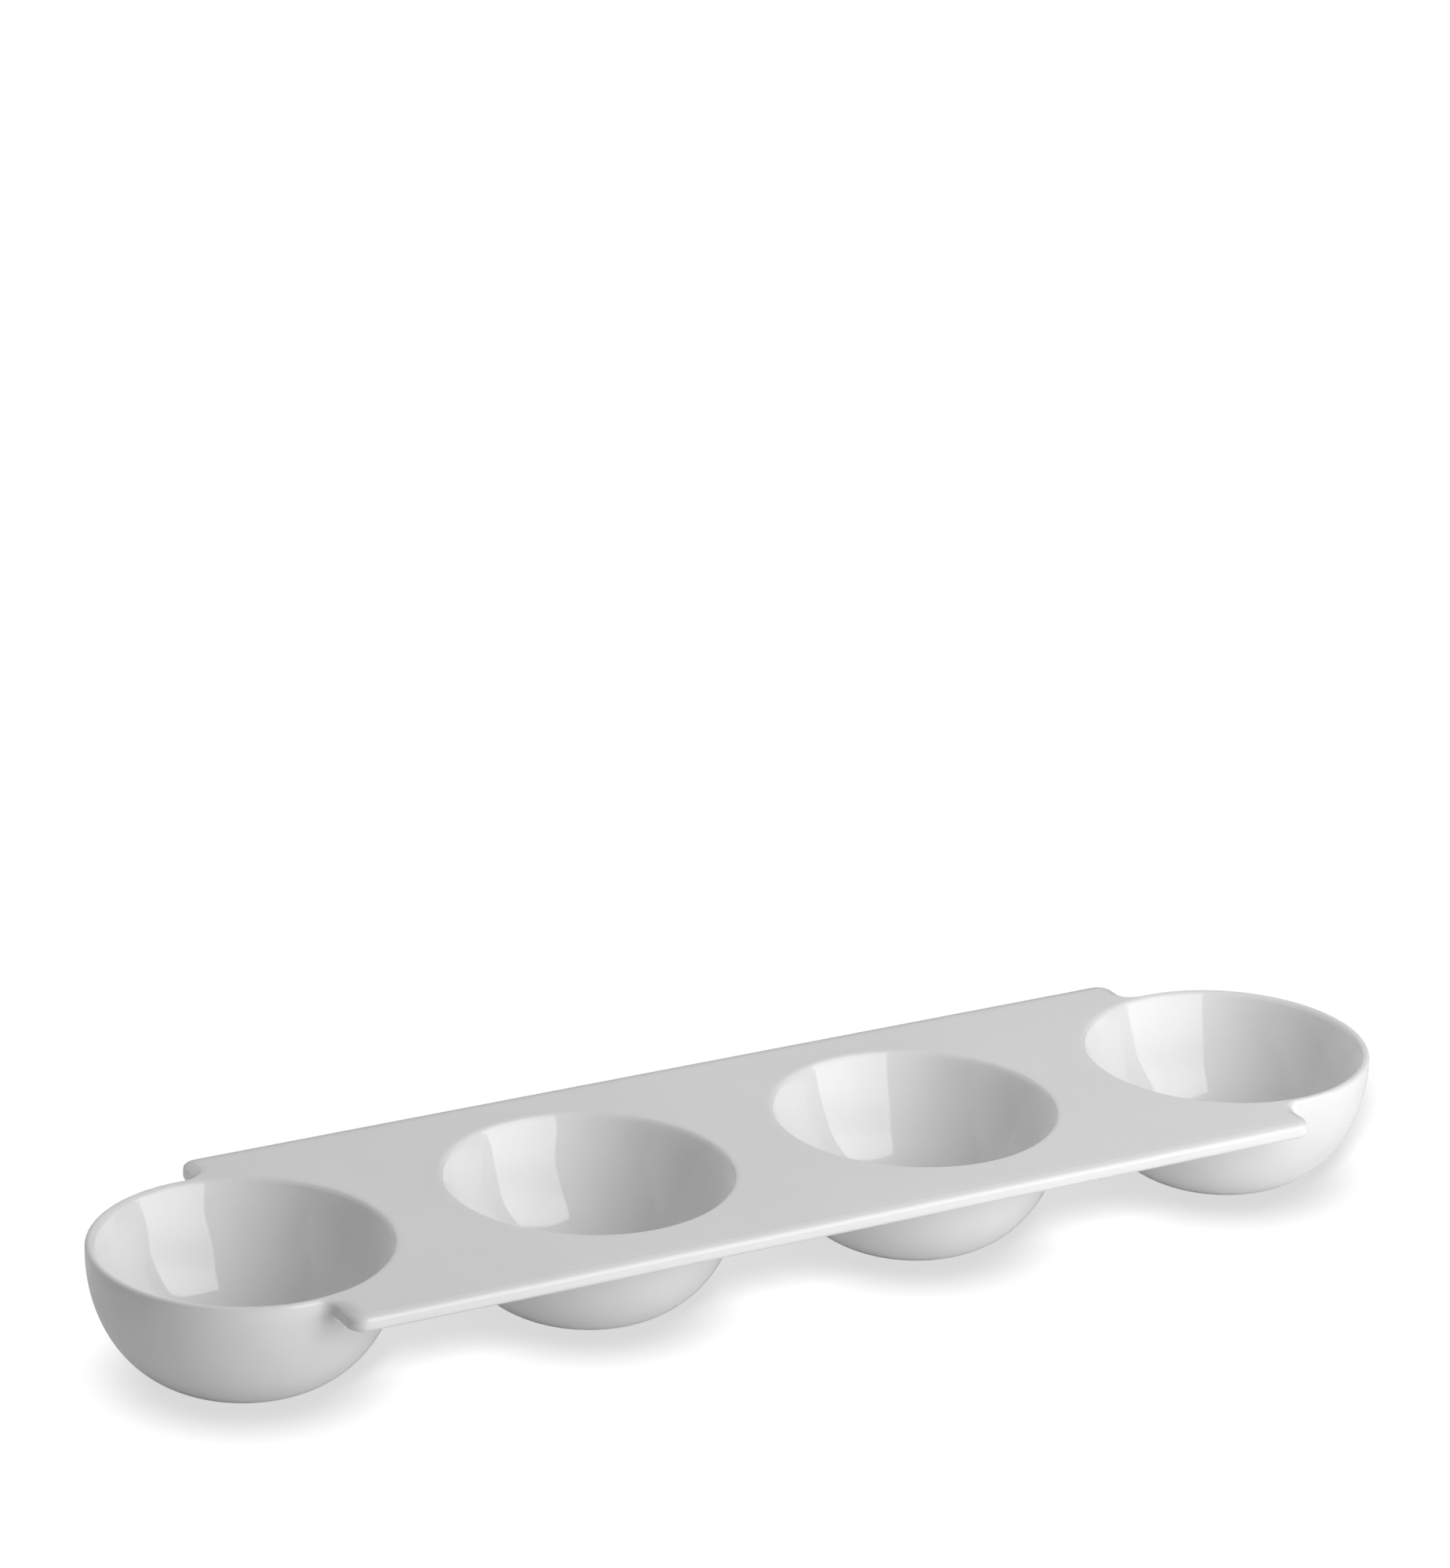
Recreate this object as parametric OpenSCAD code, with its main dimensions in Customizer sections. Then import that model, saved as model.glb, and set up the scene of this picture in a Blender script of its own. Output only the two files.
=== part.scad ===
// Egg holder tray: a flat glazed porcelain deck with four bowl-shaped cups sunk through it in a row.
// The cups carry the tray on their flat feet, and the two end cups stand out past the deck's ends.
// Frame: +X along the row of cups, +Y across the deck, +Z up, origin under the middle of the tray.

/* [Cups] */
// Distance between neighbouring cup centres
cup_pitch = 65; // [58:0.5:80]
// Radius of the rounded crest round each cup's mouth
mouth_r = 25.9; // [22:0.1:28]
// Radius that rounds the lip's outer side
lip_outer_r = 0.7; // [0.4:0.1:1]
// Radius that rounds the lip into the inside of the cup
lip_inner_r = 1.2; // [0.6:0.1:2]
// Radius of the flat foot under each cup
foot_r = 7.5; // [5:0.5:12]
// Porcelain under the lowest point of the inside
floor_t = 2.6; // [2:0.1:4]
// Fullness of the outer curve, where 2 is an ellipse
outer_fullness = 2.1; // [1.8:0.05:2.6]
// Lean of the inside just under the lip, in degrees from upright
inner_lean = 17; // [0:1:22]

/* [Deck] */
// Height of the deck's top face above the table
tray_h = 24.5; // [20:0.5:32]
// Thickness of the deck
deck_t = 3.2; // [2.4:0.1:4.5]
// Width of the deck across the row
deck_w = 70; // [66:0.5:90]
// How far each end of the deck stops short of the end cup's centre
end_inset = 3.5; // [2:0.5:8]
// Radius that rounds the deck's edges, top and bottom
edge_r = 1.2; // [0.5:0.1:1.2]
// Radius of the deck's corners in plan
corner_r = 3; // [2:0.5:5]
// Radius of the hollow corner where a deck end meets a cup
notch_r = 2; // [1:0.5:3]

/* [Hidden] */

$fn = 96;
glaze = [0.93, 0.93, 0.92];
bowl_steps = 28;
lip_steps = 6;
// Thinnest edge that the deck keeps where it runs out over a cup's rounded lip
feather_t = 0.05;
// Overshoot of a cutting shape past the face that it opens
cut_over = 1;

cup_r = mouth_r + lip_outer_r;

// Top of the inner curve, where it meets the lip's arc
inner_r = mouth_r - lip_inner_r * cos(inner_lean);
inner_top = tray_h - lip_inner_r * (1 - sin(inner_lean));
inner_depth = inner_top - floor_t;
// The inner curve is an ellipse whose centre lies this far above its top, which gives it its lean there
inner_rise = tan(inner_lean) * pow(inner_depth, 2) / (inner_r - 2 * inner_depth * tan(inner_lean));

deck_l = 3 * cup_pitch - 2 * end_inset;
deck_bottom = tray_h - deck_t;
feather_angle = asin(1 - feather_t / lip_outer_r);

// Centre of the notch's arc, with the middle of its end cup as the origin
notch_x = notch_r - end_inset;
notch_y = sqrt(pow(cup_r + notch_r, 2) - pow(notch_x, 2));

function cup_x(i) = (i - 1.5) * cup_pitch;

// Part of a superellipse, from its lowest point out to the full radius, with its centre a rise above the top
function bowl_curve(flat_r, full_r, low, high, rise, fullness) =
    let (
        half_height = high + rise - low,
        last = acos(pow(rise / half_height, fullness / 2)),
        half_width = (full_r - flat_r) / pow(sin(last), 2 / fullness)
    )
    [
        for (i = [0:bowl_steps])
            let (a = last * i / bowl_steps)
            [
                flat_r + half_width * pow(sin(a), 2 / fullness),
                high + rise - half_height * pow(cos(a), 2 / fullness)
            ]
    ];

function arc(x, z, r, from, to, steps) = [
    for (i = [0:steps])
        let (a = from + (to - from) * i / steps)
        [x + r * cos(a), z + r * sin(a)]
];

function reversed(points) = [for (i = [len(points) - 1:-1:0]) points[i]];

outer_curve = bowl_curve(foot_r, cup_r, 0, tray_h - lip_outer_r, 0, outer_fullness);
inner_curve = bowl_curve(0, inner_r, floor_t, inner_top, inner_rise, 2);

// One cup: a bowl turned about its own axis, with a rounded lip and a flat foot
module cup(i) {
    outer_lip = arc(mouth_r, tray_h - lip_outer_r, lip_outer_r, 0, 90, lip_steps);
    inner_lip = arc(mouth_r, tray_h - lip_inner_r, lip_inner_r, 90, 180 - inner_lean, lip_steps);
    outside = concat(outer_curve, [for (k = [1:lip_steps]) outer_lip[k]]);
    inside = concat([for (k = [1:lip_steps - 1]) inner_lip[k]], reversed(inner_curve));
    color(glaze)
        translate([cup_x(i), 0, 0])
            rotate_extrude()
                polygon(concat([[0, 0]], outside, inside));
}

// The space in the deck that a cup fills, open at the top
module cup_space(i) {
    outer_lip = arc(mouth_r, tray_h - lip_outer_r, lip_outer_r, 0, feather_angle, lip_steps);
    seam_r = outer_lip[lip_steps][0];
    outside = concat(outer_curve, [for (k = [1:lip_steps]) outer_lip[k]]);
    translate([cup_x(i), 0, 0])
        rotate_extrude()
            polygon(concat([[0, 0]], outside, [[seam_r, tray_h + cut_over], [0, tray_h + cut_over]]));
}

module rounded_rectangle(size, r) {
    square([size.x - 2 * r, size.y], center = true);
    square([size.x, size.y - 2 * r], center = true);
    for (x = [-1, 1], y = [-1, 1])
        translate([x * (size.x / 2 - r), y * (size.y / 2 - r)])
            circle(r);
}

// The deck before the cups are let in: rounded in plan, and round along all four edges
module plate() {
    intersection() {
        translate([0, 0, deck_bottom])
            linear_extrude(deck_t)
                rounded_rectangle([deck_l, deck_w], corner_r);
        translate([-deck_l / 2, 0, deck_bottom + deck_t / 2])
            rotate([90, 0, 90])
                linear_extrude(deck_l)
                    rounded_rectangle([deck_w, deck_t], edge_r);
        translate([0, deck_w / 2, deck_bottom + deck_t / 2])
            rotate([90, 0, 0])
                linear_extrude(deck_w)
                    rounded_rectangle([deck_l, deck_t], edge_r);
    }
}

// Hollow corner that eases the right-hand back end of the deck into the cup's wall
module notch_fill() {
    touch = cup_r / (cup_r + notch_r);
    root_y = sqrt(pow(cup_r, 2) - pow(end_inset, 2)) - edge_r;
    translate([cup_x(3), 0, deck_bottom])
        linear_extrude(deck_t - feather_t)
            difference() {
                polygon([
                    [-end_inset - edge_r, notch_y],
                    [-end_inset - edge_r, root_y],
                    [notch_x * touch, root_y],
                    [notch_x * touch, notch_y]
                ]);
                translate([notch_x, notch_y])
                    circle(notch_r);
            }
}

module deck() {
    color(glaze)
        difference() {
            union() {
                plate();
                for (x = [0, 1], y = [0, 1])
                    mirror([x, 0, 0])
                        mirror([0, y, 0])
                            notch_fill();
            }
            for (i = [0:3])
                cup_space(i);
        }
}

module left_end_cup() {
    cup(0);
}

module left_inner_cup() {
    cup(1);
}

module right_inner_cup() {
    cup(2);
}

module right_end_cup() {
    cup(3);
}

deck();
left_end_cup();
left_inner_cup();
right_inner_cup();
right_end_cup();
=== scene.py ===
"""Egg holder tray in glazed white porcelain: a flat deck with four bowl-shaped cups sunk through it."""

import math

import bpy
import numpy as np
from mathutils import Matrix, Vector


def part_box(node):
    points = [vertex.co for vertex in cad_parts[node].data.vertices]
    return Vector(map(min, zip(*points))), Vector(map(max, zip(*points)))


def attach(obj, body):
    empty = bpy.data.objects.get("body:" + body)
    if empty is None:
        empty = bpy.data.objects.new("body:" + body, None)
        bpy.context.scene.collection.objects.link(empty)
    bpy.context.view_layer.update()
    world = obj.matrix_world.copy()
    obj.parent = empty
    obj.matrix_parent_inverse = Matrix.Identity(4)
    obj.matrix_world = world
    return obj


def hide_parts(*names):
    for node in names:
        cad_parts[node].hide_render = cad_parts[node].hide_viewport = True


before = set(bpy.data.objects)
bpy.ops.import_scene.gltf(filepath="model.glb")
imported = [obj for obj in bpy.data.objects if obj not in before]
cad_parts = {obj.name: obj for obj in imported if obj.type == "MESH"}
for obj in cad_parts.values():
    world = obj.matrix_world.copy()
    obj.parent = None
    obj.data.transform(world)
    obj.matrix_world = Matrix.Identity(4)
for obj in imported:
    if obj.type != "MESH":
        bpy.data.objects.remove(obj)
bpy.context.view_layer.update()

# Shapes are worked out in millimetres, and become metres when a mesh is made.
MM = 0.001

# ---------------------------------------------------------------- sizes from the frame
CUPS = ["left_end_cup", "left_inner_cup", "right_inner_cup", "right_end_cup"]


def box_mm(node):
    low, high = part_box(node)
    return np.array(low) / MM, np.array(high) / MM


CUP_X = [float(sum(box_mm(name))[0]) / 2 for name in CUPS]
CUP_R = float(box_mm(CUPS[0])[1][1])
TRAY_H = float(box_mm("deck")[1][2])
DECK_T = float(TRAY_H - box_mm("deck")[0][2])
DECK_HALF_W = float(box_mm("deck")[1][1])

# ---------------------------------------------------------------- sizes as in the CAD source
LIP_OUTER_R = 0.7
LIP_INNER_R = 1.2
FOOT_R = 7.5
FLOOR_T = 2.6
OUTER_FULLNESS = 2.1
INNER_LEAN = math.radians(17)
END_INSET = 3.5
CORNER_R = 3.0

MOUTH_R = CUP_R - LIP_OUTER_R
DECK_HALF_L = CUP_X[-1] - END_INSET
LIP_BASE = TRAY_H - LIP_OUTER_R

# The inside of a cup is part of an ellipse, whose centre lies a rise above the lip
INNER_R = MOUTH_R - LIP_INNER_R * math.cos(INNER_LEAN)
INNER_TOP = TRAY_H - LIP_INNER_R * (1 - math.sin(INNER_LEAN))
INNER_DEPTH = INNER_TOP - FLOOR_T
INNER_RUN = INNER_DEPTH * math.tan(INNER_LEAN)
INNER_RISE = INNER_RUN * INNER_DEPTH / (INNER_R - 2 * INNER_RUN)
INNER_HALF_H = INNER_DEPTH + INNER_RISE
INNER_HALF_W = INNER_R / math.sqrt(1 - (INNER_RISE / INNER_HALF_H) ** 2)
# Height over which a free lip turns into the leaning wall
LIP_BLEND = TRAY_H - INNER_TOP
# The same where the deck rolls into a cup, and the fullness of that roll: 2 would be part of a circle
ROLL_BLEND = 1.05
ROLL_FULLNESS = 2.5
# How far in from the deck's outline the full roll is reached
ROLL_FADE = (0.5, 6.0)

# The fired edge is softer than a machined one: its top falls away slowly, then turns quickly.
SHOULDER_W = 5.0
SHOULDER_H = 1.4
SHOULDER_FULLNESS = 2.6
UNDER_EDGE_R = 0.8
# Hollow curve where the cups' walls run into the deck
FILLET_R = 2.4
# Glaze runs thin this near to a crest, and the deck's edge has its crest this far in and down
THIN_REACH = 0.9
EDGE_CREST = 0.45
# Share of a lip's thinness that the deck's edge has
EDGE_SHARE = 0.6
# How far past a cup's crest the full shoulder is reached
SHOULDER_FADE = (0.4, 4.6)


# ---------------------------------------------------------------- the tray as a distance field
def length(*parts):
    return np.sqrt(sum(p * p for p in parts))


# The least that a distance and a direction are divided by, and the deepest inside that a corner says
SMALL = 1e-6
TINY = 1e-9
DEEPEST = 50


def corner_distance(u, v, size_u, size_v, fullness):
    """Signed distance to a quarter of a superellipse that has straight sides past its ends."""
    s = np.maximum(u, 0) / size_u
    t = np.maximum(v, 0) / size_v
    g = np.maximum((s**fullness + t**fullness) ** (1 / fullness), SMALL)
    steep_u = (s / g) ** (fullness - 1) / size_u
    steep_v = (t / g) ** (fullness - 1) / size_v
    return np.maximum((g - 1) / np.maximum(length(steep_u, steep_v), SMALL), -DEEPEST)


def round_union(a, b, r):
    """Two shapes in one, with a hollow curve where they meet."""
    return np.maximum(np.minimum(a, b), r) - length(np.maximum(r - a, 0), np.maximum(r - b, 0))


def round_cut(a, b, r, fullness=2):
    """What two shapes share, with its edge rounded. A higher fullness lets the round start more softly."""
    bend = np.maximum(r + a, 0) ** fullness + np.maximum(r + b, 0) ** fullness
    return np.minimum(np.maximum(a, b), -r) + bend ** (1 / fullness)


def smoothstep(low, high, x):
    t = np.clip((x - low) / (high - low), 0, 1)
    return t * t * (3 - 2 * t)


def cup_outside(r, z):
    """Distance from a cup's outer bowl, carried straight up past the lip."""
    return corner_distance(r - FOOT_R, LIP_BASE - z, CUP_R - FOOT_R, LIP_BASE, OUTER_FULLNESS)


def cup_inside(r, z):
    """Distance from the hollow of a cup, carried straight up past the lip."""
    return corner_distance(r, INNER_TOP + INNER_RISE - z, INNER_HALF_W, INNER_HALF_H, 2)


def outline_distance(x, y):
    """Distance in plan from the deck's outline, a rectangle with round corners."""
    dx = np.abs(x) - (DECK_HALF_L - CORNER_R)
    dy = np.abs(y) - (DECK_HALF_W - CORNER_R)
    return length(np.maximum(dx, 0), np.maximum(dy, 0)) + np.minimum(np.maximum(dx, dy), 0) - CORNER_R


def roll(x, y):
    """How fully the deck rolls over into a cup: 0 along its outline and past it, 1 well inside."""
    return smoothstep(*ROLL_FADE, -outline_distance(x, y))


def slab_distance(x, y, z):
    """Distance from the deck's slab, round along its lower edge and carried up past its top face."""
    return round_cut(outline_distance(x, y), (TRAY_H - DECK_T) - z, UNDER_EDGE_R)


def tray_distance(p):
    """Distance from the whole tray, an array of points in, one number a point out."""
    x, y, z = p[..., 0], p[..., 1], p[..., 2]
    radii = [length(x - cx, y) for cx in CUP_X]
    body = slab_distance(x, y, z)
    for r in radii:
        body = round_union(body, cup_outside(r, z), FILLET_R)
    away = smoothstep(*SHOULDER_FADE, np.minimum(radii[0], radii[-1]) - MOUTH_R)
    width = LIP_OUTER_R + (SHOULDER_W - LIP_OUTER_R) * away
    height = LIP_OUTER_R + (SHOULDER_H - LIP_OUTER_R) * away
    fullness = 2 + (SHOULDER_FULLNESS - 2) * away
    body = corner_distance(body + width, z - (TRAY_H - height), width, height, fullness)
    blend = LIP_BLEND + (ROLL_BLEND - LIP_BLEND) * roll(x, y)
    fullness = 2 + (ROLL_FULLNESS - 2) * roll(x, y)
    for r in radii:
        body = round_cut(body, -cup_inside(r, z), blend, fullness)
    return body


def gradient(field, p, step=0.01):
    """Unit direction in which a field grows fastest."""
    g = np.empty_like(p)
    for axis in range(3):
        d = np.zeros(3)
        d[axis] = step
        g[..., axis] = field(p + d) - field(p - d)
    return g / np.maximum(np.linalg.norm(g, axis=-1, keepdims=True), TINY)


def thin_glaze(p):
    """Where the glaze has run thin: 1 on a free lip's crest, less along the deck's edge, 0 elsewhere."""
    x, y, drop = p[:, 0], p[:, 1], TRAY_H - p[:, 2]
    from_crest = np.min([np.abs(length(x - cx, y) - MOUTH_R) for cx in CUP_X], axis=0)
    from_edge = np.abs(outline_distance(x, y) + EDGE_CREST)
    lip = (1 - roll(x, y)) * np.exp(-length(from_crest, drop) ** 2 / THIN_REACH**2)
    edge = np.exp(-length(from_edge, drop - EDGE_CREST) ** 2 / THIN_REACH**2)
    return np.maximum(lip, EDGE_SHARE * edge)


# ---------------------------------------------------------------- meshes
def make_piece(name, points, faces, normals):
    """A smooth mesh object from points in millimetres, shaded with the given normals."""
    mesh = bpy.data.meshes.new(name)
    mesh.from_pydata((points * MM).tolist(), [], faces)
    mesh.update()
    mesh.polygons.foreach_set("use_smooth", [True] * len(mesh.polygons))
    mesh.normals_split_custom_set_from_vertices(normals.tolist())
    thin = mesh.attributes.new("thin_glaze", "FLOAT", "POINT")
    thin.data.foreach_set("value", thin_glaze(points))
    piece = bpy.data.objects.new(name, mesh)
    bpy.context.scene.collection.objects.link(piece)
    return piece


# A cup's surface lies this much inside the tray's, so that the deck covers it where they run together
SUNK = 0.004
# Steps along each stretch of a cup's profile, and round the cup
FOOT_STEPS = 5
BOWL_STEPS = 56
LIP_STEPS = 12
ROUND_STEPS = 224
# How often a cup's points are moved towards the tray's surface
CUP_ROUNDS = 6


def bowl_curve(flat_r, half_w, low, half_h, last, fullness):
    """Part of a superellipse, from its lowest point up to an angle."""
    a = np.linspace(0, last, BOWL_STEPS + 1)
    r = flat_r + half_w * np.sin(a) ** (2 / fullness)
    z = low + half_h * (1 - np.cos(a) ** (2 / fullness))
    return np.stack([r, z], 1)


def arc(x, z, r, start, end):
    """Part of a circle, between two angles."""
    a = np.linspace(start, end, LIP_STEPS + 1)
    return np.stack([x + r * np.cos(a), z + r * np.sin(a)], 1)


def cup_profile():
    """Half section of a cup: up the outside from the middle of its foot, over the lip, down the inside."""
    up = math.pi / 2
    foot = np.stack([np.linspace(0, FOOT_R, FOOT_STEPS + 1), np.zeros(FOOT_STEPS + 1)], 1)
    outer = bowl_curve(FOOT_R, CUP_R - FOOT_R, 0, LIP_BASE, up, OUTER_FULLNESS)
    outer_lip = arc(MOUTH_R, LIP_BASE, LIP_OUTER_R, 0, up)
    inner_lip = arc(MOUTH_R, TRAY_H - LIP_INNER_R, LIP_INNER_R, up, 2 * up - INNER_LEAN)
    inner_end = math.acos(INNER_RISE / INNER_HALF_H)
    inner = bowl_curve(0, INNER_HALF_W, FLOOR_T, INNER_HALF_H, inner_end, 2)[::-1]
    outside = np.concatenate([foot[:-1], outer, outer_lip[1:-1]])
    inside = np.concatenate([outer_lip[-1:], inner_lip[1:], inner[1:]])
    return outside, inside


def build_cup(name, cx):
    """A turned bowl, closed at both poles. Its lip and inside are settled on the tray's surface."""
    outside, inside = cup_profile()
    profile = np.concatenate([outside, inside])
    rings = profile[1:-1]
    turn = np.linspace(0, 2 * math.pi, ROUND_STEPS, endpoint=False)
    x = cx + rings[:, :1] * np.cos(turn)
    y = rings[:, :1] * np.sin(turn)
    z = np.repeat(rings[:, 1:], ROUND_STEPS, 1)
    points = np.stack([x, y, z], 2).reshape(-1, 3)
    hollow = np.repeat(np.arange(len(rings)) >= len(outside) - 1, ROUND_STEPS)
    for _ in range(CUP_ROUNDS):
        off = tray_distance(points) + SUNK
        off = np.where(hollow, off, np.maximum(off, 0))
        points = points - off[:, None] * gradient(tray_distance, points)
    poles = [[cx, 0, profile[0, 1] + SUNK], [cx, 0, profile[-1, 1] - SUNK]]
    points = np.concatenate([points, poles])
    under, floor = len(points) - 2, len(points) - 1
    last = (len(rings) - 1) * ROUND_STEPS
    faces = []
    for k in range(ROUND_STEPS):
        n = (k + 1) % ROUND_STEPS
        faces.append((under, n, k))
        faces.append((floor, last + k, last + n))
        for ring in range(len(rings) - 1):
            a = ring * ROUND_STEPS
            faces.append((a + k, a + n, a + n + ROUND_STEPS, a + k + ROUND_STEPS))
    return make_piece(name, points, faces, gradient(tray_distance, points))


# Grid on which the deck's surface is found, and how far it goes past the deck: each side, below, above
GRID = 0.5
SPARE_SIDE = 2 * GRID
SPARE_BELOW = 2.25 * GRID
SPARE_ABOVE = GRID
# The deck ends under the crests of the cups' lips. This far down it starts to widen into
# their walls, by this much
CORE_DROP = 1.0
CORE_REACH = 0.8
# Rounds of moving the deck's points. A point this near to two surfaces belongs on the edge where they meet,
# and goes this share of the way to each of them in a round.
DECK_ROUNDS = 12
EDGE_NEAR = 0.6 * GRID
EDGE_PULL = 0.7


def deck_keep(p):
    """Below zero where the deck keeps its material: near its own slab and outside the cups' cores."""
    x, y, z = p[..., 0], p[..., 1], p[..., 2]
    slab = slab_distance(x, y, z) - FILLET_R
    core = MOUTH_R - np.clip(TRAY_H - z - CORE_DROP, 0, CORE_REACH)
    inside = np.max([core - length(x - cx, y) for cx in CUP_X], axis=0)
    return np.maximum(slab, inside)


def surface_net(field, low, high, step):
    """Quads round the closed surface where a field changes sign, with one point in each cell it crosses."""
    axes = [np.arange(a, b + step, step) for a, b in zip(low, high)]
    grid = np.stack(np.meshgrid(*axes, indexing="ij"), -1)
    value = field(grid)
    inside = value < 0
    cells = tuple(n - 1 for n in inside.shape)
    total = np.zeros(cells + (3,))
    count = np.zeros(cells)
    crossings = []
    for axis in range(3):
        lower = [slice(None)] * 3
        upper = [slice(None)] * 3
        lower[axis] = slice(None, -1)
        upper[axis] = slice(1, None)
        lower, upper = tuple(lower), tuple(upper)
        a, b = value[lower], value[upper]
        crossed = inside[lower] != inside[upper]
        share = np.where(crossed, a / np.where(crossed, a - b, 1), 0)
        where = grid[lower] + share[..., None] * (grid[upper] - grid[lower])
        where[~crossed] = 0
        crossings.append((crossed, inside[lower]))
        others = [k for k in range(3) if k != axis]
        for i in (0, 1):
            for j in (0, 1):
                pick = [slice(None)] * 3
                pick[others[0]] = slice(i, i + cells[others[0]])
                pick[others[1]] = slice(j, j + cells[others[1]])
                total += where[tuple(pick)]
                count += crossed[tuple(pick)]
    used = count > 0
    number = np.full(cells, -1)
    number[used] = np.arange(used.sum())
    points = total[used] / count[used][:, None]
    faces = []
    for axis in range(3):
        crossed, starts_inside = crossings[axis]
        u, v = [(1, 2), (2, 0), (0, 1)][axis]
        at = np.argwhere(crossed)
        at = at[(at[:, u] > 0) & (at[:, v] > 0) & (at[:, u] < cells[u]) & (at[:, v] < cells[v])]
        back_u = np.eye(3, dtype=int)[u]
        back_v = np.eye(3, dtype=int)[v]
        ring = [at, at - back_u, at - back_u - back_v, at - back_v]
        quads = np.stack([number[tuple(corner.T)] for corner in ring], 1)
        flip = ~starts_inside[tuple(at.T)]
        quads[flip] = quads[flip][:, ::-1]
        faces.append(quads)
    return points, np.concatenate(faces)


def settle(points, skin, keep, near):
    """Moves points onto the skin, onto the cut, or, if both are near, onto the edge where the two meet."""
    edge = (np.abs(skin(points)) < near) & (np.abs(keep(points)) < near)
    on_skin = edge | (skin(points) >= keep(points))
    on_cut = edge | ~on_skin
    for _ in range(DECK_ROUNDS):
        move = np.zeros_like(points)
        for field, chosen in ((skin, on_skin), (keep, on_cut)):
            p = points[chosen]
            share = np.where(edge[chosen], EDGE_PULL, 1.0)[:, None]
            move[chosen] -= share * field(p)[:, None] * gradient(field, p)
        points = points + move
    return points


def build_deck(name):
    """The deck with its fillets, as a quad net found on a grid and settled on the tray's surface."""
    reach_x = DECK_HALF_L + FILLET_R + SPARE_SIDE
    reach_y = DECK_HALF_W + SPARE_SIDE
    low = (-reach_x, -reach_y, TRAY_H - DECK_T - FILLET_R - SPARE_BELOW)
    high = (reach_x, reach_y, TRAY_H + SPARE_ABOVE)
    points, quads = surface_net(lambda p: np.maximum(tray_distance(p), deck_keep(p)), low, high, GRID)
    points = settle(points, tray_distance, deck_keep, EDGE_NEAR)
    return make_piece(name, points, quads.tolist(), gradient(tray_distance, points))


# ---------------------------------------------------------------- material
GLAZE_IOR = 1.58
# The deck's flat top is satin. Heights between which it turns satin, and its roughness
FLAT_TOP = (0.0242, 0.0245)
FLAT_ROUGH = (0.5, 0.5, 0.5, 1)
# The white of the body where the glaze is thick and where it is even, on a crest, and bare under the feet
WHITE_LOW = (0.788, 0.782, 0.784, 1)
WHITE_HIGH = (0.806, 0.801, 0.803, 1)
WHITE_CREST = (0.812, 0.800, 0.784, 1)
BISQUE = (0.74, 0.725, 0.69, 1)
CLOUD_SIZE = 0.03
CLOUD_DETAIL = 3
# Between these values a noise goes from its one look to its other, and a lip's thinness shows
NOISE_SPAN = (0.3, 0.7)
CREST_SPAN = (0.15, 1.0)
# Heights between which the foot's bare face turns into glaze, in metres
WIPED = (0.00015, 0.0006)
# Roughness values, as greys
GLOSS_LOW = (0.02, 0.02, 0.02, 1)
GLOSS_HIGH = (0.045, 0.045, 0.045, 1)
BISQUE_ROUGH = (0.6, 0.6, 0.6, 1)
GLOSS_SIZE = 0.012
GLOSS_DETAIL = 2
# Slow waves in the glaze of the cups, how much of them the flat deck has, and the glaze's fine orange peel
WAVE_SIZE = 0.012
WAVE_DETAIL = 1
WAVE_DEPTH = 0.0004
WAVE_ON_TOP = 0.2
WAVE_FADE = (0.0215, 0.0245)
PEEL_SIZE = 0.0022
PEEL_DETAIL = 2
PEEL_DEPTH = 0.000004
# A mix node's two colour inputs and its colour output, and what stands in for a colour that a link brings
MIX_A, MIX_B, MIX_OUT = 6, 7, 2
LINKED = (0, 0, 0, 1)


def slope(nodes, links, factor, low, high, start=0, end=1):
    """A value that goes smoothly from start to end while a factor goes from low to high."""
    node = nodes.new("ShaderNodeMapRange")
    node.interpolation_type = "SMOOTHSTEP"
    for socket, value in zip(("From Min", "From Max", "To Min", "To Max"), (low, high, start, end)):
        node.inputs[socket].default_value = value
    links.new(factor, node.inputs["Value"])
    return node.outputs["Result"]


def ramp(nodes, links, factor, low, high, start, end):
    """A colour that goes smoothly from start to end while a factor goes from low to high."""
    node = nodes.new("ShaderNodeMix")
    node.data_type = "RGBA"
    node.inputs[MIX_A].default_value = start
    node.inputs[MIX_B].default_value = end
    links.new(slope(nodes, links, factor, low, high), node.inputs[0])
    return node


def noise(nodes, links, place, size, detail):
    """Soft cloudy noise whose blobs are about a size across, in metres."""
    node = nodes.new("ShaderNodeTexNoise")
    node.inputs["Scale"].default_value = 1 / size
    node.inputs["Detail"].default_value = detail
    links.new(place, node.inputs["Vector"])
    return node.outputs["Fac"]


def bump(nodes, links, height, depth, under=None):
    """Bumps of a depth in metres, laid over other bumps if given."""
    node = nodes.new("ShaderNodeBump")
    node.inputs["Strength"].default_value = 1.0
    node.inputs["Distance"].default_value = depth
    links.new(height, node.inputs["Height"])
    if under:
        links.new(under, node.inputs["Normal"])
    return node.outputs["Normal"]


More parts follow.
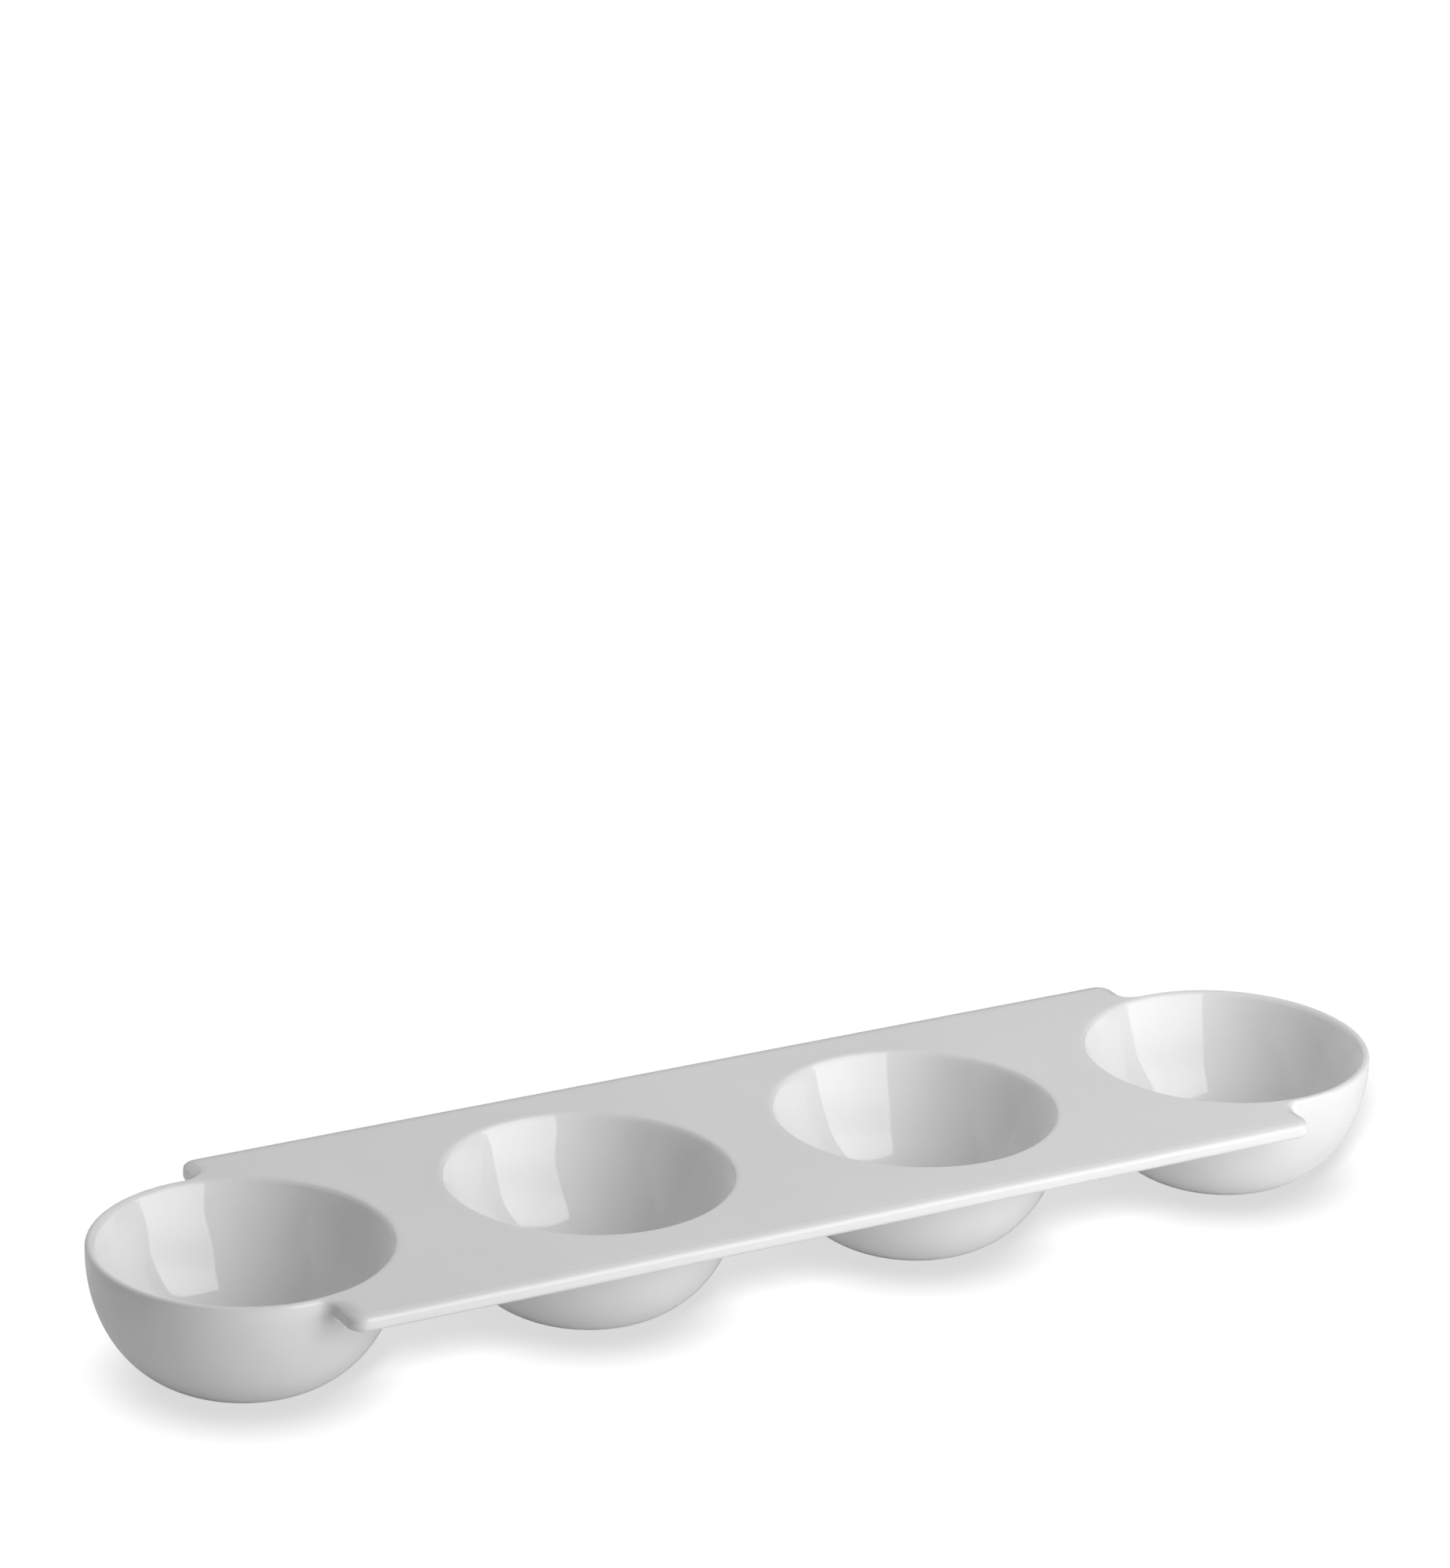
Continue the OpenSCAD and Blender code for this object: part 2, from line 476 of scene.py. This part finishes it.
def porcelain():
    """White body under a clear glaze that pools a little, runs thin on crests and is wiped off the feet."""
    material = bpy.data.materials.new("glazed_porcelain")
    material.use_nodes = True
    nodes, links = material.node_tree.nodes, material.node_tree.links
    shader = nodes["Principled BSDF"]
    shader.inputs["IOR"].default_value = GLAZE_IOR
    place = nodes.new("ShaderNodeTexCoord").outputs["Object"]
    height = nodes.new("ShaderNodeSeparateXYZ")
    links.new(place, height.inputs[0])
    thin = nodes.new("ShaderNodeAttribute")
    thin.attribute_name = "thin_glaze"

    cloud = noise(nodes, links, place, CLOUD_SIZE, CLOUD_DETAIL)
    white = ramp(nodes, links, cloud, *NOISE_SPAN, WHITE_LOW, WHITE_HIGH)
    crest = ramp(nodes, links, thin.outputs["Fac"], *CREST_SPAN, LINKED, WHITE_CREST)
    links.new(white.outputs[MIX_OUT], crest.inputs[MIX_A])
    foot = ramp(nodes, links, height.outputs["Z"], *WIPED, BISQUE, LINKED)
    links.new(crest.outputs[MIX_OUT], foot.inputs[MIX_B])
    links.new(foot.outputs[MIX_OUT], shader.inputs["Base Color"])

    gloss = noise(nodes, links, place, GLOSS_SIZE, GLOSS_DETAIL)
    sheen = ramp(nodes, links, gloss, *NOISE_SPAN, GLOSS_LOW, GLOSS_HIGH)
    rough = ramp(nodes, links, height.outputs["Z"], *WIPED, BISQUE_ROUGH, LINKED)
    satin = ramp(nodes, links, height.outputs["Z"], *FLAT_TOP, LINKED, FLAT_ROUGH)
    links.new(sheen.outputs[MIX_OUT], satin.inputs[MIX_A])
    links.new(satin.outputs[MIX_OUT], rough.inputs[MIX_B])
    links.new(rough.outputs[MIX_OUT], shader.inputs["Roughness"])

    swell = nodes.new("ShaderNodeMath")
    swell.operation = "MULTIPLY"
    links.new(noise(nodes, links, place, WAVE_SIZE, WAVE_DETAIL), swell.inputs[0])
    links.new(slope(nodes, links, height.outputs["Z"], *WAVE_FADE, 1, WAVE_ON_TOP), swell.inputs[1])
    waves = bump(nodes, links, swell.outputs[0], WAVE_DEPTH)
    peel = bump(nodes, links, noise(nodes, links, place, PEEL_SIZE, PEEL_DETAIL), PEEL_DEPTH, waves)
    links.new(peel, shader.inputs["Normal"])
    return material


# ---------------------------------------------------------------- studio
CAMERA_AT = (-0.4989, -0.8674, 0.4717)
CAMERA_YAW = 0.515
CAMERA_PITCH = 0.364
CAMERA_ROLL = 0.032
CAMERA_LENS = 144.17
SENSOR = 36.0

# The key light is a softbox that leans over the tray from its front right. The stops say how bright its
# cloth is from its lower edge to its upper one: two lamps leave its middle dimmer.
KEY_FOOT = (0.248, -0.538, 0.028)
KEY_UP = (0.165, 0.437, 0.884)
KEY_NORMAL = (-0.346, 0.865, -0.363)
KEY_SIZE = (0.659, 0.78)
KEY_RADIANCE = 2.3
KEY_STOPS = [(0.0, 0.95), (0.25, 1.0), (0.49, 0.72), (0.74, 1.1), (1.0, 0.95)]
# The node that holds the stops goes no higher than 1, so it holds them divided by this
STOP_SCALE = 2

# The fills are walls of soft light that don't show in the glaze: middle of the lower edge, up, facing,
# width and height, radiance
FILLS = {
    "front_high": ((0.2, -1.3, 0.5), (0, 0, 1), (0, 1, -0.3), (1.6, 0.6), 1.75),
    "front_low": ((0.2, -1.3, 0.001), (0, 0, 1), (0, 1, 0), (1.6, 0.35), 0.8),
    "top": ((0, -0.7, 1.2), (0, 1, 0), (0, 0, -1), (1.4, 1.4), 0.29),
    "back_high": ((0, 0.9, 0.4), (0, 0, 1), (0, -1, -0.5), (1.8, 0.6), 1.25),
    "back_low": ((0, 0.9, 0.001), (0, 0, 1), (0, -1, 0), (1.8, 0.3), 3.4),
}
# A dim wall that shows only in the glaze: same values
WALL = ((-0.8, 0.55, 0.001), (0, 0, 1), (0.8, -0.6, -0.2), (1.7, 0.7), 0.42)
WORLD_LIGHT = 0.02
FLOOR_WHITE = 0.8
FLOOR_HALF = 8.0
# How far the bouncing floor lies under the paper that the camera sees
FLOOR_GAP = 0.0001
# The shadow under the cups: its reach in metres, and the open sky where it is darkest and where it ends
SHADOW_REACH = 0.016
SHADOW_SKY = (0.2, 0.82)
# The shadow behind the tray: a far lamp left of the camera and higher, its turn, height and angular size
LAMP_TURN = 0.12
LAMP_HEIGHT = math.radians(32)
LAMP_ANGLE = math.radians(10.5)
# Darkest and lightest the paper gets, the share of the lamp's light it takes, and rays of ambient shade
PAPER_DARK = 0.69
PAPER_LIGHT = 1.02
PAPER_TAKES = 0.05
SHADE_RAYS = 16


def make_camera():
    data = bpy.data.cameras.new("camera")
    data.sensor_fit = "VERTICAL"
    data.sensor_height = SENSOR
    data.lens = CAMERA_LENS
    camera = bpy.data.objects.new("camera", data)
    turn = Matrix.Rotation(-CAMERA_YAW, 4, "Z") @ Matrix.Rotation(math.pi / 2 - CAMERA_PITCH, 4, "X")
    tilt = Matrix.Rotation(CAMERA_ROLL, 4, "Z")
    camera.matrix_world = Matrix.Translation(CAMERA_AT) @ turn @ tilt
    bpy.context.scene.collection.objects.link(camera)
    bpy.context.scene.camera = camera


def make_panel(name, low_edge, up, normal, size, radiance):
    """A soft light: a rectangle that stands on the middle of its lower edge and shines along its normal."""
    up, normal = Vector(up).normalized(), Vector(normal).normalized()
    side = up.cross(-normal).normalized()
    up = (-normal).cross(side)
    data = bpy.data.lights.new(name, "AREA")
    data.shape = "RECTANGLE"
    data.size, data.size_y = size
    data.energy = radiance * math.pi * size[0] * size[1]
    light = bpy.data.objects.new(name, data)
    turn = Matrix((side, up, -normal)).transposed().to_4x4()
    light.matrix_world = Matrix.Translation(Vector(low_edge) + up * size[1] / 2) @ turn
    light.visible_camera = False
    bpy.context.scene.collection.objects.link(light)
    return light


def shade_key(light):
    """Two lamps behind the softbox's cloth, one low and one high."""
    light.data.use_nodes = True
    nodes, links = light.data.node_tree.nodes, light.data.node_tree.links
    place = nodes.new("ShaderNodeNewGeometry")
    axes = nodes.new("ShaderNodeSeparateXYZ")
    glow = nodes.new("ShaderNodeFloatCurve")
    curve = glow.mapping.curves[0]
    stops = [(at, value / STOP_SCALE) for at, value in KEY_STOPS]
    curve.points[0].location = stops[0]
    curve.points[1].location = stops[-1]
    for stop in stops[1:-1]:
        curve.points.new(*stop)
    glow.mapping.update()
    restored = nodes.new("ShaderNodeMath")
    restored.operation = "MULTIPLY"
    restored.inputs[1].default_value = STOP_SCALE
    links.new(place.outputs["Parametric"], axes.inputs[0])
    links.new(axes.outputs["Y"], glow.inputs["Value"])
    links.new(glow.outputs[0], restored.inputs[0])
    links.new(restored.outputs[0], nodes["Emission"].inputs["Strength"])


def camera_split(nodes, links, seen, other):
    """One shader for what the camera sees directly, another for every other ray."""
    mix = nodes.new("ShaderNodeMixShader")
    path = nodes.new("ShaderNodeLightPath")
    links.new(path.outputs["Is Camera Ray"], mix.inputs[0])
    links.new(other.outputs[0], mix.inputs[1])
    links.new(seen.outputs[0], mix.inputs[2])
    return mix


def make_sheet(name, z, material):
    """A wide level sheet."""
    mesh = bpy.data.meshes.new(name)
    s = FLOOR_HALF
    mesh.from_pydata([(-s, -s, z), (s, -s, z), (s, s, z), (-s, s, z)], [], [(0, 1, 2, 3)])
    mesh.materials.append(material)
    sheet = bpy.data.objects.new(name, mesh)
    bpy.context.scene.collection.objects.link(sheet)
    return sheet


def bare_material(name):
    """A material with nothing in it but its output."""
    material = bpy.data.materials.new(name)
    material.use_nodes = True
    nodes, links = material.node_tree.nodes, material.node_tree.links
    nodes.clear()
    return material, nodes, links, nodes.new("ShaderNodeOutputMaterial")


def bouncing_floor():
    """The white floor as the tray sees it: it throws the studio's light back up."""
    material, nodes, links, out = bare_material("floor")
    white = nodes.new("ShaderNodeBsdfDiffuse")
    white.inputs["Color"].default_value = (FLOOR_WHITE, FLOOR_WHITE, FLOOR_WHITE, 1)
    links.new(white.outputs[0], out.inputs["Surface"])
    floor = make_sheet("floor", -FLOOR_GAP, material)
    floor.visible_camera = False


def paper():
    """White paper as the camera sees it, with a narrow soft shadow under and behind the tray."""
    material, nodes, links, out = bare_material("paper")
    sky = nodes.new("ShaderNodeAmbientOcclusion")
    sky.samples = SHADE_RAYS
    sky.inputs["Distance"].default_value = SHADOW_REACH
    takes = (PAPER_TAKES, PAPER_TAKES, PAPER_TAKES, 1)
    shade = ramp(nodes, links, sky.outputs["AO"], *SHADOW_SKY, (0, 0, 0, 1), takes)
    lit = nodes.new("ShaderNodeBsdfDiffuse")
    links.new(shade.outputs[MIX_OUT], lit.inputs["Color"])
    glow = nodes.new("ShaderNodeEmission")
    glow.inputs["Strength"].default_value = PAPER_DARK
    both = nodes.new("ShaderNodeAddShader")
    links.new(glow.outputs[0], both.inputs[0])
    links.new(lit.outputs[0], both.inputs[1])
    links.new(both.outputs[0], out.inputs["Surface"])
    sheet = make_sheet("paper", 0, material)
    for ray in ("diffuse", "glossy", "transmission", "shadow"):
        setattr(sheet, f"visible_{ray}", False)
    return sheet


def shadow_lamp(sheet):
    """A far lamp that lights the paper alone, and throws the tray's shadow back across it."""
    data = bpy.data.lights.new("shadow_lamp", "SUN")
    data.angle = LAMP_ANGLE
    data.energy = (PAPER_LIGHT - PAPER_DARK) * math.pi / (PAPER_TAKES * math.sin(LAMP_HEIGHT))
    lamp = bpy.data.objects.new("shadow_lamp", data)
    turn = Matrix.Rotation(-CAMERA_YAW - LAMP_TURN, 4, "Z")
    lamp.matrix_world = turn @ Matrix.Rotation(math.pi / 2 - LAMP_HEIGHT, 4, "X")
    bpy.context.scene.collection.objects.link(lamp)
    only = bpy.data.collections.new("lit_by_the_shadow_lamp")
    only.objects.link(sheet)
    lamp.light_linking.receiver_collection = only


def make_world():
    """White behind everything, and almost no light from it."""
    world = bpy.data.worlds.new("studio")
    bpy.context.scene.world = world
    world.use_nodes = True
    nodes, links = world.node_tree.nodes, world.node_tree.links
    dim = nodes["Background"]
    dim.inputs["Color"].default_value = (1, 1, 1, 1)
    dim.inputs["Strength"].default_value = WORLD_LIGHT
    bright = nodes.new("ShaderNodeBackground")
    bright.inputs["Color"].default_value = (1, 1, 1, 1)
    bright.inputs["Strength"].default_value = PAPER_LIGHT
    mix = camera_split(nodes, links, bright, dim)
    links.new(mix.outputs[0], nodes["World Output"].inputs["Surface"])


def make_studio():
    make_camera()
    bouncing_floor()
    shadow_lamp(paper())
    make_world()
    key = make_panel("key", KEY_FOOT, KEY_UP, KEY_NORMAL, KEY_SIZE, KEY_RADIANCE)
    shade_key(key)
    for name, (foot, up, facing, size, radiance) in FILLS.items():
        fill = make_panel(name, foot, up, facing, size, radiance)
        fill.visible_glossy = False
    wall = make_panel("wall", *WALL)
    wall.visible_diffuse = False
    bpy.context.scene.view_settings.view_transform = "Standard"


# ---------------------------------------------------------------- assembly
make_studio()
glaze = porcelain()
pieces = [(build_cup(f"{name}_glazed", cx), name) for name, cx in zip(CUPS, CUP_X)]
pieces.append((build_deck("deck_glazed"), "deck"))
for piece, node in pieces:
    piece.data.materials.append(glaze)
    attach(piece, "root")
    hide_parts(node)
